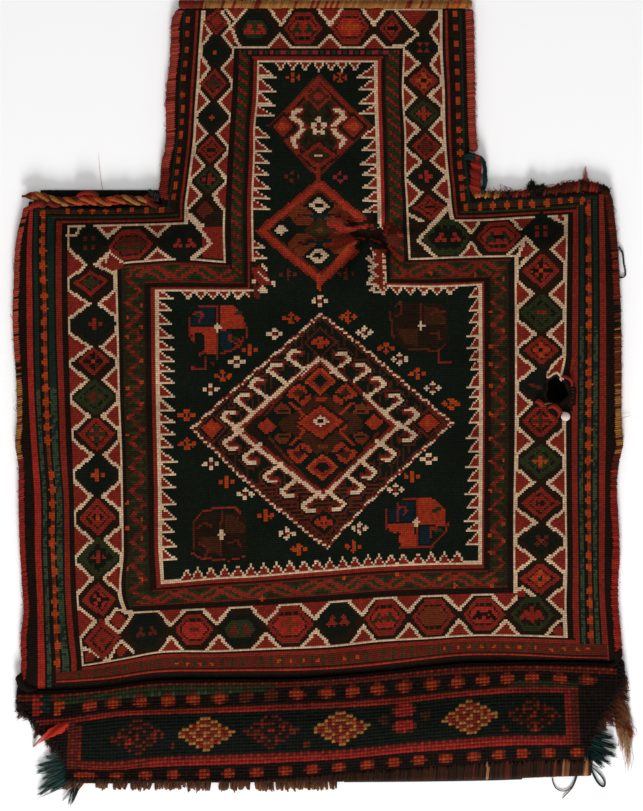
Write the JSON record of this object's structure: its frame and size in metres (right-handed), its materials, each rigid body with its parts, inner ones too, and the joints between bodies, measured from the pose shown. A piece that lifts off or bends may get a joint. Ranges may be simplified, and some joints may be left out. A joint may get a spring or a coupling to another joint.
{
  "type": "salt bag",
  "caption": "Flat-woven salt bag: a wide pocket with a narrow open neck, a knotted band along its foot, wrapped edges and frayed corners.",
  "frame": {"origin": "on the ground, under the middle of the body's back panel", "axes": "+Y towards the mouth, +Z out of the patterned front, +X to the right seen from the front"},
  "size_m": [0.4277, 0.5423, 0.0182],
  "materials": {
    "patterned_weave": "wool weft wrapping in red, blue-black, green, ivory and orange",
    "plain_weave": "plain dark green-black wool weave",
    "red_wool": "madder red wool overcasting",
    "black_wool": "black wool overcasting",
    "blue_black_wool": "blue-black and red wool wrapping",
    "gold_wool": "gold and orange wool overcasting",
    "goat_hair": "brown goat hair with tan ends",
    "teal_wool": "loose dark teal wool",
    "red_rag": "bright red torn cloth and yarn",
    "white_cotton": "off-white cotton yarn"
  },
  "bodies": {
    "root": {"front_panel": "patterned_weave", "back_panel": "plain_weave", "side_binding_left": "red_wool", "side_binding_right": "red_wool", "band_binding_left": "black_wool", "band_binding_right": "black_wool", "neck_binding_left": "red_wool", "neck_binding_right": "red_wool", "neck_wrap_right": "blue_black_wool", "mouth_binding_front": "gold_wool", "mouth_binding_back": "plain_weave", "shoulder_braid_left": "gold_wool", "shoulder_binding_right": "red_wool", "shoulder_knot_right": "black_wool", "foot_binding": "goat_hair", "warp_fringe": "goat_hair", "teal_tassel_left": "teal_wool", "teal_tassel_right": "teal_wool", "hair_tuft_left": "goat_hair", "hair_tuft_right": "goat_hair", "rag_strip": "red_rag", "teal_loop_right": "teal_wool", "thread_curl_right": "goat_hair", "side_thread_loop": "teal_wool", "shoulder_thread": "red_rag", "mend_knot": "white_cotton"}
  },
  "joints": []
}
